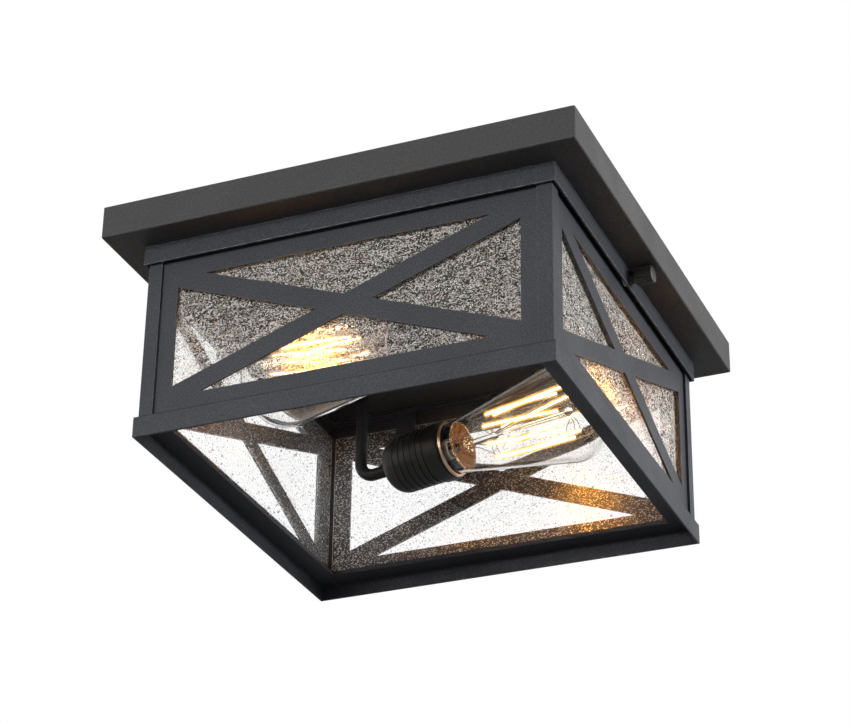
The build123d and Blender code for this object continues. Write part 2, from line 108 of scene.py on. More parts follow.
def object_coordinates(tree, stretch=(1, 1, 1)):
    """Object coordinates stretched by a Mapping node."""
    inputs = {"Vector": object_place(tree), "Scale": stretch}
    return add(tree, "ShaderNodeMapping", inputs).outputs[0]


def noise(tree, place, scale, detail=2.0, roughness=0.5):
    """Noise value between 0 and 1, with so many lumps a metre."""
    inputs = {"Vector": place, "Scale": scale, "Detail": detail, "Roughness": roughness}
    return add(tree, "ShaderNodeTexNoise", inputs).outputs["Fac"]


def cells(tree, place, scale, output):
    """Cells round scattered points, so many a metre: distance to the point, or a colour each."""
    inputs = {"Vector": place, "Scale": scale}
    return add(tree, "ShaderNodeTexVoronoi", inputs).outputs[output]


def ramp(tree, value, low, high, to_low=0.0, to_high=1.0):
    """Value taken smoothly from the range low to high to the range to_low to to_high."""
    inputs = {
        "Value": value, "From Min": low, "From Max": high, "To Min": to_low, "To Max": to_high,
    }
    return add(tree, "ShaderNodeMapRange", inputs, interpolation_type="SMOOTHSTEP").outputs[0]


def spread(tree, value, to_low=0.0, to_high=1.0):
    """Noise value taken from the range that holds most of it to the range to_low to to_high."""
    return ramp(tree, value, 0.3, 0.7, to_low, to_high)


def maths(tree, operation, first, second=0.0):
    """One sum of two numbers."""
    return add(tree, "ShaderNodeMath", {0: first, 1: second}, operation=operation).outputs[0]


def times(tree, first, second):
    """Product of two numbers."""
    return maths(tree, "MULTIPLY", first, second)


def larger(tree, first, second):
    """Larger of two numbers."""
    return maths(tree, "MAXIMUM", first, second)


def rest_of_one(tree, value):
    """One less the value."""
    return maths(tree, "SUBTRACT", 1.0, value)


def above(tree, value, limit):
    """1 where the value is over the limit, else 0."""
    return maths(tree, "GREATER_THAN", value, limit)


def vector_maths(tree, operation, inputs, output="Vector"):
    """One sum of vectors."""
    return add(tree, "ShaderNodeVectorMath", inputs, operation=operation).outputs[output]


def blend_colours(tree, mask, first, second):
    """First colour where the mask is 0, second where it is 1."""
    inputs = {0: mask, 6: first, 7: second}
    return add(tree, "ShaderNodeMix", inputs, data_type="RGBA").outputs[2]


def blend_numbers(tree, mask, first, second):
    """First number where the mask is 0, second where it is 1."""
    inputs = {0: mask, 2: first, 3: second}
    return add(tree, "ShaderNodeMix", inputs, data_type="FLOAT").outputs[0]


def bump(tree, height, distance, strength=1.0):
    """Normal of a surface with that height, which is distance metres deep."""
    inputs = {"Height": height, "Distance": distance, "Strength": strength}
    return add(tree, "ShaderNodeBump", inputs).outputs[0]


# Shared effects


def new_group(name, inputs, outputs):
    """Empty node group; gives its tree and its two end nodes.

    Inputs go by their value, a number or a colour, and outputs by their kind of socket.
    """
    tree = bpy.data.node_groups.new(name, "ShaderNodeTree")
    for socket, value in inputs.items():
        colour = isinstance(value, tuple)
        kind = "NodeSocketColor" if colour else "NodeSocketFloat"
        made = tree.interface.new_socket(socket, in_out="INPUT", socket_type=kind)
        made.default_value = (*value, 1.0) if colour else value
    for socket, kind in outputs.items():
        tree.interface.new_socket(socket, in_out="OUTPUT", socket_type=f"NodeSocket{kind}")
    return tree, tree.nodes.new("NodeGroupInput"), tree.nodes.new("NodeGroupOutput")


def powder_coat_group():
    """Sandy baked coat: fine lumps in the height, paler grains, and a little cloudiness."""
    tree, given, result = new_group(
        "powder coat",
        {
            "Coat Color": (0.05, 0.05, 0.05),
            "Grain Color": (0.1, 0.1, 0.1),
            "Grains": 1400.0,
            "Depth": 0.2 * mm,
        },
        {"Color": "Color", "Roughness": "Float", "Normal": "Vector"},
    )
    place = object_coordinates(tree)
    lumps = noise(tree, place, given.outputs["Grains"], 2.0, 0.6)
    clouds = noise(tree, place, 22.0, 3.0)
    mask = larger(tree, ramp(tree, lumps, 0.42, 0.66), spread(tree, clouds, 0.0, 0.2))
    join(
        tree,
        result,
        Color=blend_colours(tree, mask, given.outputs["Coat Color"], given.outputs["Grain Color"]),
        Roughness=ramp(tree, clouds, 0.2, 0.8, 0.42, 0.6),
        Normal=bump(tree, lumps, given.outputs["Depth"], 0.9),
    )
    return tree


def edge_wear_and_highlight_group():
    """Mask of the sharp outer edges, broken up by noise, from how far a rounded normal turns."""
    tree, given, result = new_group(
        "edge wear", {"Width": 0.8 * mm, "Breakup": 300.0}, {"Mask": "Float"}
    )
    rounded = add(tree, "ShaderNodeBevel", {"Radius": given.outputs["Width"]}, samples=4).outputs[0]
    true_normal = add(tree, "ShaderNodeNewGeometry").outputs["Normal"]
    turned = vector_maths(tree, "DOT_PRODUCT", {0: rounded, 1: true_normal}, "Value")
    edge = ramp(tree, turned, 0.995, 0.85)
    patches = noise(tree, object_coordinates(tree), given.outputs["Breakup"], 3.0)
    join(tree, result, Mask=times(tree, edge, ramp(tree, patches, 0.35, 0.65, 0.35, 1.0)))
    return tree


def scratches_group():
    """Fine scratches drawn along one axis, as a height and a mask."""
    tree, given, result = new_group(
        "scratches", {"Scratches": 900.0}, {"Height": "Float", "Mask": "Float"}
    )
    drawn_out = object_coordinates(tree, (0.06, 1, 1))
    lines = noise(tree, drawn_out, given.outputs["Scratches"], 3.0, 0.7)
    join(tree, result, Height=lines, Mask=ramp(tree, lines, 0.35, 0.7))
    return tree


powder_coat = powder_coat_group()
edge_wear_and_highlight = edge_wear_and_highlight_group()
scratches = scratches_group()


def use(tree, group, **inputs):
    """Places a shared group in a material, with its own values, and gives its outputs."""
    made = add(tree, "ShaderNodeGroup", node_tree=group)
    join(tree, made, **inputs)
    return made.outputs


# Finishes


def new_material(name):
    """Material with a Principled BSDF; gives the material, its tree and the shader."""
    material = bpy.data.materials.new(name)
    material.use_nodes = True
    tree = material.node_tree
    return material, tree, tree.nodes["Principled BSDF"]


def coated_steel(name, coat_colour, grain_colour, edge_wear_and_highlight_colour, edge_mark_share=0.6, shadow_line_top=None):
    """Sandy black powder coat, worn paler along the edges, where the paler colour is also a painted highlight, and
    dark from just under a given height up, as a painted shadow line.
    """
    material, tree, shader = new_material(name)
    coat = use(
        tree,
        powder_coat,
        Coat_Color=coat_colour,
        Grain_Color=grain_colour,
        Grains=1050.0,
        Depth=0.3 * mm,
    )
    # Edge mask: worn edges, whose paler colour also paints a highlight along them.
    wear_and_highlight = use(tree, edge_wear_and_highlight, Width=0.7 * mm, Breakup=260.0)["Mask"]
    colour = blend_colours(tree, times(tree, wear_and_highlight, edge_mark_share), coat["Color"], edge_wear_and_highlight_colour)
    # Painted shadow line: near black along the top edge of a rail and on its ledge, where the panel stands.
    if shadow_line_top is not None:
        height = add(tree, "ShaderNodeSeparateXYZ", {"Vector": object_place(tree)}).outputs["Z"]
        line = ramp(tree, height, shadow_line_top - 0.8 * mm, shadow_line_top - 0.5 * mm)
        colour = blend_colours(tree, line, colour, (0.004, 0.004, 0.005))
    join(
        tree,
        shader,
        Base_Color=colour,
        Roughness=coat["Roughness"],
        Normal=coat["Normal"],
        Specular_IOR_Level=0.25,
    )
    return material


def blackened_screw():
    """Black plated thumbscrew whose flutes are rubbed bright."""
    material, tree, shader = new_material("black plated screw")
    coat = use(
        tree,
        powder_coat,
        Coat_Color=(0.012, 0.012, 0.014),
        Grain_Color=(0.03, 0.03, 0.034),
        Grains=2200.0,
        Depth=0.08 * mm,
    )
    wear_and_highlight = use(tree, edge_wear_and_highlight, Width=0.5 * mm, Breakup=700.0)["Mask"]
    join(
        tree,
        shader,
        Base_Color=blend_colours(tree, wear_and_highlight, coat["Color"], (0.2, 0.19, 0.18)),
        Roughness=ramp(tree, wear_and_highlight, 0.0, 1.0, 0.38, 0.25),
        Metallic=0.5,
        Normal=coat["Normal"],
    )
    return material


def plated_steel():
    """Dull zinc plate with drawn scratches and cloudy patches."""
    material, tree, shader = new_material("zinc plated steel")
    lines = use(tree, scratches, Scratches=1500.0)
    clouds = noise(tree, object_coordinates(tree), 90.0, 4.0)
    rough = maths(tree, "ADD", spread(tree, clouds, 0.25, 0.4), times(tree, lines["Mask"], 0.12))
    join(
        tree,
        shader,
        Base_Color=blend_colours(tree, spread(tree, clouds), (0.5, 0.5, 0.48), (0.68, 0.67, 0.63)),
        Roughness=rough,
        Metallic=1.0,
        Normal=bump(tree, lines["Height"], 0.03 * mm),
    )
    return material


def green_screw():
    """Green dyed plating, worn to bare metal on the edges of the head."""
    material, tree, shader = new_material("green plated screw")
    wear_and_highlight = use(tree, edge_wear_and_highlight, Width=0.6 * mm, Breakup=900.0)["Mask"]
    clouds = noise(tree, object_coordinates(tree), 300.0, 3.0)
    green = blend_colours(tree, spread(tree, clouds), (0.03, 0.22, 0.08), (0.06, 0.34, 0.12))
    join(
        tree,
        shader,
        Base_Color=blend_colours(tree, wear_and_highlight, green, (0.55, 0.55, 0.5)),
        Roughness=spread(tree, clouds, 0.25, 0.42),
        Metallic=0.7,
    )
    return material


def socket_plastic():
    """Black moulded plastic with a faint sheen, moulding lumps and a little dust."""
    material, tree, shader = new_material("black moulded plastic")
    place = object_coordinates(tree)
    dust = ramp(tree, noise(tree, place, 140.0, 5.0, 0.7), 0.45, 0.8)
    join(
        tree,
        shader,
        Base_Color=blend_colours(tree, dust, (0.012, 0.0115, 0.011), (0.035, 0.033, 0.031)),
        Roughness=ramp(tree, dust, 0.0, 1.0, 0.45, 0.62),
        Normal=bump(tree, noise(tree, place, 1100.0), 0.06 * mm),
        Specular_IOR_Level=0.45,
    )
    return material


def metal(name, dark, pale, patch_scale, smoothest, roughest):
    """Bare metal that varies between two tones, with fine drawn lines."""
    material, tree, shader = new_material(name)
    patches = noise(tree, object_coordinates(tree), patch_scale, 4.0, 0.6)
    lines = use(tree, scratches, Scratches=2200.0)
    join(
        tree,
        shader,
        Base_Color=blend_colours(tree, spread(tree, patches), dark, pale),
        Roughness=spread(tree, patches, smoothest, roughest),
        Metallic=1.0,
        Normal=bump(tree, lines["Height"], 0.02 * mm),
    )
    return material


def speckled(name, dark, pale, patch_scale, smoothest, roughest, depth):
    """Plain body that varies between two tones, with small lumps of that depth."""
    material, tree, shader = new_material(name)
    patches = noise(tree, object_coordinates(tree), patch_scale, 5.0, 0.65)
    join(
        tree,
        shader,
        Base_Color=blend_colours(tree, ramp(tree, patches, 0.35, 0.7), dark, pale),
        Roughness=spread(tree, patches, smoothest, roughest),
        Normal=bump(tree, patches, depth),
    )
    return material


def light_through(tree, stopped):
    """1, and for a shadow ray only the share that is stopped, so that light gets through."""
    shadow = add(tree, "ShaderNodeLightPath").outputs["Is Shadow Ray"]
    return ramp(tree, shadow, 0.0, 1.0, 1.0, stopped)


def pane_places(tree):
    """Mask of the panes' outer faces, and mask of their ground edges: the upright ends and the top.

    All four panes lie alike round the middle, so the right-hand pane's box serves for each.
    """
    low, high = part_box("glass_pane_right")
    middle = (low[0] + high[0]) / 2
    inset = 0.3 * mm
    apart = add(tree, "ShaderNodeSeparateXYZ", {"Vector": object_place(tree)}).outputs
    across, along = (maths(tree, "ABSOLUTE", apart[axis]) for axis in "XY")
    outside = above(tree, larger(tree, across, along), middle)
    end = above(tree, maths(tree, "MINIMUM", across, along), high[1] - inset)
    return outside, larger(tree, end, above(tree, apart["Z"], high[2] - inset))


def seeded_glass():
    """Clear glass with fine seeds: crowded outside in level streaks, scattered on the inner face.

    Every seed is one cell, a small tilted facet that scatters what is behind it and some of the
    light that falls on it. The cell's own random colour picks its cover, its tint and its
    greyness. Between the seeds the face is nearly clear, and a few seeds are dark.
    """
    material, tree, shader = new_material("seeded glass")
    grains = cells(tree, object_coordinates(tree, (1, 1, 1.3)), 1450.0, "Color")
    picked = add(tree, "ShaderNodeSeparateColor", {"Color": grains}).outputs
    cover, tint, greyness = (picked[name] for name in ("Red", "Green", "Blue"))
    outside, edge = pane_places(tree)

    streaks = noise(tree, object_coordinates(tree, (0.22, 0.22, 1)), 330.0, 3.0, 0.6)
    crowding = maths(tree, "ADD", cover, spread(tree, streaks, -0.2, 0.2))
    crowded = ramp(tree, crowding, 0.42, 0.55, 0.03, 1.0)
    scattered = ramp(tree, cover, 0.81, 0.85, 0.07, 1.0)
    dark = above(tree, greyness, 0.98)
    seen = blend_numbers(tree, outside, scattered, crowded)
    seen = larger(tree, larger(tree, seen, edge), times(tree, dark, 0.85))

    pale = blend_colours(
        tree, ramp(tree, tint, 0.35, 0.9), (0.97, 0.98, 0.98), (0.94, 0.81, 0.66)
    )
    grey = blend_colours(tree, ramp(tree, greyness, 0.0, 0.62), (0.36, 0.32, 0.28), pale)
    colour = blend_colours(tree, outside, (0.96, 0.97, 0.97), grey)
    colour = blend_colours(tree, dark, colour, (0.03, 0.03, 0.027))
    colour = blend_colours(tree, edge, colour, (0.8, 0.82, 0.8))

    faces = add(tree, "ShaderNodeNewGeometry").outputs
    tilt = vector_maths(tree, "SUBTRACT", {0: grains, 1: (0.5, 0.5, 0.5)})
    size = ramp(tree, tint, 0.0, 0.16, 0.9, 0.22)
    tilt = vector_maths(tree, "SCALE", {0: tilt, "Scale": size})
    facet = vector_maths(tree, "ADD", {0: faces["Normal"], 1: tilt})
    entered = rest_of_one(tree, faces["Backfacing"])
    join(
        tree,
        shader,
        Base_Color=colour,
        Roughness=ramp(tree, cover, 0.2, 0.8, 0.17, 0.24),
        Transmission_Weight=0.5,
        IOR=1.2,
        Normal=vector_maths(tree, "NORMALIZE", {0: facet}),
        Alpha=times(tree, times(tree, seen, entered), light_through(tree, 0.65)),
    )
    return material


def lamp_glass():
    """Clear blown glass, faintly amber, with very shallow waves."""
    material, tree, shader = new_material("lamp glass")
    waves = noise(tree, object_coordinates(tree), 45.0)
    join(
        tree,
        shader,
        Base_Color=blend_colours(
            tree, spread(tree, waves), (0.998, 0.996, 0.99), (0.99, 0.985, 0.975)
        ),
        Roughness=spread(tree, waves, 0.0, 0.01),
        Transmission_Weight=1.0,
        IOR=1.3,
        Normal=bump(tree, waves, 0.3 * mm, 0.1),
        Alpha=light_through(tree, 0.06),
    )
    return material


def bubble_air():
    """Air inside the pane: its index is the inverse of the glass's."""
    material, tree, shader = new_material("air bubble")
    patches = noise(tree, object_coordinates(tree), 300.0)
    join(
        tree,
        shader,
        Base_Color=blend_colours(tree, patches, (0.97, 0.97, 0.97), (0.9, 0.91, 0.91)),
        Roughness=spread(tree, patches, 0.0, 0.04),
        Transmission_Weight=1.0,
        IOR=0.685,
        Alpha=light_through(tree, 0.2),
    )
    return material


def glowing_strand():
    """White-hot strand, hottest in patches, that turns amber towards its edges."""
    material, tree, shader = new_material("glowing strand")
    patches = noise(tree, object_coordinates(tree), 260.0)
    core = blend_colours(tree, spread(tree, patches), (1.0, 0.72, 0.42), (1.0, 0.82, 0.54))
    facing = add(tree, "ShaderNodeLayerWeight", {"Blend": 0.5}).outputs["Facing"]
    join(
        tree,
        shader,
        Base_Color=(0.9, 0.6, 0.3),
        Roughness=spread(tree, patches, 0.4, 0.6),
        Emission_Color=blend_colours(
            tree, ramp(tree, facing, 0.3, 0.65), core, (0.14, 0.05, 0.004)
        ),
        Emission_Strength=8.0,
    )
    return material


def join_glow(tree, shader, colour, strength, roughness, cover):
    """Sets a shader to a film that only gives light, and that stops no light itself."""
    join(
        tree,
        shader,
        Base_Color=(0.0, 0.0, 0.0),
        Roughness=roughness,
        Specular_IOR_Level=0.0,
        Emission_Color=colour,
        Emission_Strength=strength,
        Alpha=times(tree, cover, light_through(tree, 0.0)),
    )


def strand_halo():
    """Amber glow round a strand: thickest through its middle, and patchy along its length."""
    material, tree, shader = new_material("amber halo")
    patches = noise(tree, object_coordinates(tree), 420.0)
    colour = blend_colours(tree, spread(tree, patches), (1.0, 0.46, 0.08), (1.0, 0.56, 0.12))
    facing = add(tree, "ShaderNodeLayerWeight", {"Blend": 0.5}).outputs["Facing"]
    thickness = ramp(tree, facing, 0.0, 1.0, 1.0, 0.0)
    cover = times(tree, thickness, spread(tree, patches, 0.1, 0.18))
    join_glow(tree, shader, colour, 4.5, spread(tree, patches, 0.6, 0.9), cover)
    return material


def bloom():
    """Almost clear amber film that glows faintly, in streaks along the lamp."""
    material, tree, shader = new_material("amber bloom")
    streaks = noise(tree, object_coordinates(tree, (0.25, 1, 1)), 160.0)
    colour = blend_colours(tree, spread(tree, streaks), (1.0, 0.5, 0.25), (1.0, 0.6, 0.3))
    cover = spread(tree, streaks, 0.002, 0.007)
    join_glow(tree, shader, colour, 4.0, spread(tree, streaks, 0.5, 0.7), cover)
    return material


def golden_press():
    """Crinkled glass and wire ends of the lamp's press: golden grains, dark between, that glow from their own
    colour as painted light from the strands.
    """
    material, tree, shader = new_material("golden press")
    crumbs = cells(tree, object_coordinates(tree), 760.0, "Distance")
    colour = blend_colours(
        tree, ramp(tree, crumbs, 0.22, 0.42), (1.0, 0.8, 0.46), (0.1, 0.035, 0.006)
    )
    join(
        tree,
        shader,
        Base_Color=colour,
        Roughness=ramp(tree, crumbs, 0.2, 0.7, 0.12, 0.35),
        Metallic=0.6,
        Normal=bump(tree, crumbs, 0.9 * mm),
        # Painted glow: the grains' own colour gives light, for the strands' light on the press.
        Emission_Color=colour,
        Emission_Strength=0.9,
    )
    return material


def amber_flare():
    """Amber-brown glass of the stem's flare, streaked out from the stem, with crumbs of light: the streaked brown
    is painted reflection of the brass socket, its faint glow is painted, and the crumbs are painted glints.
    """
    material, tree, shader = new_material("amber stem flare")
    streak = add(tree, "ShaderNodeAttribute", attribute_name="streaks").outputs["Fac"]
    crumbs = noise(tree, object_coordinates(tree), 620.0, 4.0, 0.7)
    brown = blend_colours(tree, streak, (0.045, 0.012, 0.002), (0.2, 0.068, 0.006))
    colour = blend_colours(tree, ramp(tree, crumbs, 0.6, 0.74), brown, (0.6, 0.38, 0.12))
    join(
        tree,
        shader,
        Base_Color=colour,
        Roughness=spread(tree, crumbs, 0.16, 0.42),
        Normal=bump(tree, crumbs, 0.4 * mm),
        Specular_IOR_Level=0.1,
        # Painted glow, brightest in the crumbs.
        Emission_Color=colour,
        Emission_Strength=0.25,
    )
    return material


# Coats: the coat's colour, its grains' and a third for worn edges, which also paints their highlight; other
# finishes: dark and pale
cage_tones = ((0.0198, 0.0212, 0.0262), (0.042, 0.0445, 0.053))
cage_edge_wear_and_highlight = (0.15, 0.155, 0.17)
band_edge_highlight_and_wear = (0.4, 0.41, 0.44)
pan_tones = ((0.0275, 0.0275, 0.0285), (0.054, 0.054, 0.055), (0.13, 0.13, 0.131))
# Arms: the cage coat at about a third of its brightness, as painted shade inside the cage.
arm_shaded_tones = ((0.007, 0.007, 0.008), (0.016, 0.016, 0.018), (0.06, 0.06, 0.062))
copper_tones = ((0.86, 0.55, 0.38), (0.96, 0.74, 0.58))
brass_tones = ((0.6, 0.4, 0.17), (0.8, 0.6, 0.3))
solder_tones = ((0.5, 0.5, 0.48), (0.72, 0.72, 0.7))
wire_tones = ((0.16, 0.13, 0.1), (0.34, 0.28, 0.2))
ceramic_tones = ((0.74, 0.72, 0.67), (0.86, 0.85, 0.81))
insulator_tones = ((0.01, 0.01, 0.014), (0.03, 0.03, 0.04))

# By the record's material slot
finishes = {
    "black_paint": coated_steel("cage powder coat", *cage_tones, cage_edge_wear_and_highlight),
    "plain_steel": plated_steel(),
    "green_paint": green_screw(),
    "black_plastic": socket_plastic(),
    "copper_rim": metal("bare copper rim", *copper_tones, 260.0, 0.3, 0.42),
    "brass": metal("plain brass", *brass_tones, 300.0, 0.2, 0.38),
    "solder": metal("solder", *solder_tones, 600.0, 0.25, 0.5),
    "white_ceramic": speckled("unglazed ceramic", *ceramic_tones, 420.0, 0.6, 0.8, 0.08 * mm),
    "black_gloss": speckled(
        "black insulating glass", *insulator_tones, 240.0, 0.05, 0.15, 0.03 * mm
    ),
    "seeded_glass": seeded_glass(),
    "clear_glass": lamp_glass(),
    "wire": metal("support wire", *wire_tones, 500.0, 0.3, 0.45),
    "filament": glowing_strand(),
}
bubble_finish = bubble_air()
halo_finish = strand_halo()
bloom_finish = bloom()
flare_finish = amber_flare()
press_painted_glow = golden_press()
thumb_finish = blackened_screw()
# Darker coat for the arms: painted shade.
arm_shaded_finish = coated_steel("arm powder coat", *arm_shaded_tones)
# Rails: the cage coat, with a painted shadow line along their top edge.
rail_coat_with_shadow_line = coated_steel(
    "rail powder coat", *cage_tones, cage_edge_wear_and_highlight, 0.2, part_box("bottom_rail_front")[1][2]
)
# By node, where a node has a finish of its own
own_finishes = {
    # The band's edges take a much paler colour at full share: a painted highlight, with worn paint.
    "neck_band": coated_steel("band powder coat", *cage_tones, band_edge_highlight_and_wear, 1.0),
    "ceiling_pan": coated_steel("pan powder coat", *pan_tones),
    "thumbscrew_left": thumb_finish,
    "thumbscrew_right": thumb_finish,
    **{f"bottom_rail_{side}": rail_coat_with_shadow_line for side in sides},
    **{f"arm_tube_{which}": arm_shaded_finish for which in lamps},
}

for part in frame["record"]["subparts"]:
    mesh = frame["nodes"][part["node"]].data
    mesh.materials.clear()
    mesh.materials.append(own_finishes.get(part["node"], finishes[part["material_slot"]]))


# Shapes


def place_object(name, data):
    """Object in the scene, at the origin."""
    made = bpy.data.objects.new(name, data)
    bpy.context.scene.collection.objects.link(made)
    return made


def new_piece(name, points, faces, material, body, weld=False):
    """Smooth mesh from arrays of points and faces, riding on a body; weld closes its seams."""
    mesh = bpy.data.meshes.new(name)
    mesh.from_pydata(np.asarray(points, float), [], np.asarray(faces))
    mesh.polygons.foreach_set("use_smooth", np.full(len(mesh.polygons), True))
    mesh.materials.append(material)
    mesh.update()
    piece = place_object(name, mesh)
    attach(piece, body)
    if weld:
        piece.modifiers.new("close the seams", "WELD").merge_threshold = 0.01 * mm
    return piece


def full_circle(count):
    """So many even angles round a circle."""
    return np.linspace(0, 2 * math.pi, count, endpoint=False)


def between(first, last, share):
    """Value that goes evenly from the first to the last as the share goes from 0 to 1."""
    return first + (last - first) * share


def grid_faces(rows, columns, offset=0):
    """Triangles of a grid of points that closes on itself along its columns."""
    row = np.arange(rows - 1)[:, None]
    column = np.arange(columns)[None, :]
    a = row * columns + column
    b = row * columns + (column + 1) % columns
    c = a + columns
    d = b + columns
    quads = np.stack([np.stack([a, b, d], -1), np.stack([a, d, c], -1)], 2)
    return quads.reshape(-1, 3) + offset


# The bubbles' radii vary round the usual one by a lognormal law; room is in radii from the faces
bubbles_in_a_pane = 800
usual_bubble = 0.36 * mm
smallest_bubble = 0.2 * mm
largest_bubble = 0.9 * mm
bubble_variation = 0.35
bubble_stretch = 1.45
bubble_room = 1.6
bubble_clearance = 0.15 * mm
first_seed = 3


def seed_bubbles(side, seed):
    """Small air bubbles in one pane.

    Each is a ball: its point at latitude t and longitude p is its centre plus
    radius times (cos t cos p, cos t sin p, sin t), drawn out a little along the level direction.
    """
    low, high = (np.array(corner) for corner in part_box(f"glass_pane_{side}"))
    random = np.random.default_rng(seed)
    radius = random.lognormal(math.log(usual_bubble), bubble_variation, bubbles_in_a_pane)
    radius = np.clip(radius, smallest_bubble, largest_bubble)
    room = radius[:, None] * bubble_room + bubble_clearance
    centre = low + room + random.random((bubbles_in_a_pane, 3)) * (high - low - 2 * room)
    rings, around = 3, 8
    pole, last_ring = math.pi / 2, 0.9
    latitude = np.concatenate([[-pole], np.linspace(-last_ring, last_ring, rings), [pole]])
    longitude = full_circle(around)
    unit = np.stack(
        [
            np.outer(np.cos(latitude), np.cos(longitude)),
            np.outer(np.cos(latitude), np.sin(longitude)),
            np.outer(np.sin(latitude), np.ones(around)),
        ],
        -1,
    ).reshape(-1, 3)
    stretch = np.ones(3)
    stretch[np.argmax(high - low)] = bubble_stretch
    points = centre[:, None, :] + unit[None, :, :] * radius[:, None, None] * stretch
    offsets = (np.arange(bubbles_in_a_pane) * len(unit))[:, None, None]
    faces = grid_faces(len(latitude), around)[None] + offsets
    new_piece(
        f"glass_seeds_{side}",
        points.reshape(-1, 3),
        faces.reshape(-1, 3),
        bubble_finish,
        "cage",
        weld=True,
    )


# Lamps: places are along a lamp from its socket's mouth, and reaches are from its axis

strand_count = 8
strands_start, strands_end = 30.3 * mm, 84.3 * mm
low_ring, high_ring = 15.0 * mm, 16.5 * mm
rim_length = 1.6 * mm
towards_ceiling = math.pi / 2


def lamp_axes(which):
    """Middle of the socket's mouth and the lamp's own along, across and up directions."""
    axis = next(j["axis"] for j in frame["joints"] if j["name"] == f"lamp_{which}_unscrew")
    along = np.array(axis) / np.linalg.norm(axis)
    low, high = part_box(f"socket_rim_{which}")
    mouth = (np.array(low) + np.array(high)) / 2 + along * rim_length / 2
    across = np.cross((0, 0, 1), along)
    across /= np.linalg.norm(across)
    return mouth, along, across, np.cross(along, across)


def lamp_points(which, place, reach, angle):
    """Points at a place along a lamp, a reach away from its axis and an angle about it.

    A point is mouth + place along + reach (cos angle across + sin angle up).
    """
    mouth, along, across, up = lamp_axes(which)
    place, reach, angle = (np.asarray(given, float)[..., None] for given in (place, reach, angle))
    return mouth + place * along + reach * (np.cos(angle) * across + np.sin(angle) * up)


def turned_shell(which, profile, around):
    """Surface turned about a lamp's axis: the profile's (place, reach) points swept round it."""
    profile = np.asarray(profile, float)
    points = lamp_points(which, profile[:, :1], profile[:, 1:], full_circle(around))
    return points.reshape(-1, 3), grid_faces(len(profile), around)


def tube_points(path, radius, around):
    """Tube round a path: at each path point a ring of points, radius away, square to the path."""
    forward = np.gradient(path, axis=0)
    forward /= np.linalg.norm(forward, axis=1)[:, None]
    helper = np.array([0.31, 0.83, 0.46])
    first = np.cross(forward, helper)
    first /= np.linalg.norm(first, axis=1)[:, None]
    second = np.cross(forward, first)
    angle = full_circle(around)[None, :, None]
    ring = np.cos(angle) * first[:, None, :] + np.sin(angle) * second[:, None, :]
    points = path[:, None, :] + ring * radius[:, None, None]
    return points.reshape(-1, 3)


def tubes(paths, radius, around):
    """Points and triangles of several closed tubes: each ends in a tiny ring just past its end."""
    end_step, end_size = 0.001, 0.02
    points, faces, offset = [], [], 0
    for path in paths:
        path = np.vstack([path[:1], path, path[-1:]])
        path[0] += (path[1] - path[2]) * end_step
        path[-1] += (path[-2] - path[-3]) * end_step
        sizes = np.full(len(path), radius)
        sizes[[0, -1]] = radius * end_size
        ring = tube_points(path, sizes, around)
        points.append(ring)
        faces.append(grid_faces(len(path), around, offset)[:, ::-1])
        offset += len(ring)
    return np.vstack(points), np.vstack(faces)


def glowing_strands(which):
    """Strands between two rings round the stem, and a wider glow round each.

    A strand's distance from the axis runs in a straight line from one ring to the other,
    plus a slight outward bow, and its angle turns by half a step from end to end.
    """
    strand_radius, halo_radius, bow = 0.85 * mm, 2.4 * mm, 0.5 * mm
    share = np.linspace(0, 1, 24)
    place = between(strands_start, strands_end, share)
    reach = between(low_ring, high_ring, share) + bow * np.sin(share * math.pi)
    paths = [
        lamp_points(which, place, reach, angle + share * math.pi / strand_count)
        for angle in full_circle(strand_count)
    ]
    points, faces = tubes(paths, strand_radius, 8)
    piece = new_piece(
        f"glowing_strands_{which}", points, faces, finishes["filament"], f"lamp_{which}"
    )
    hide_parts(f"filament_{which}")
    piece.visible_diffuse = False
    points, faces = tubes(paths, halo_radius, 14)
    halo = new_piece(
        f"strand_halos_{which}", points, faces, halo_finish, f"lamp_{which}"
    )
    halo.visible_diffuse = False


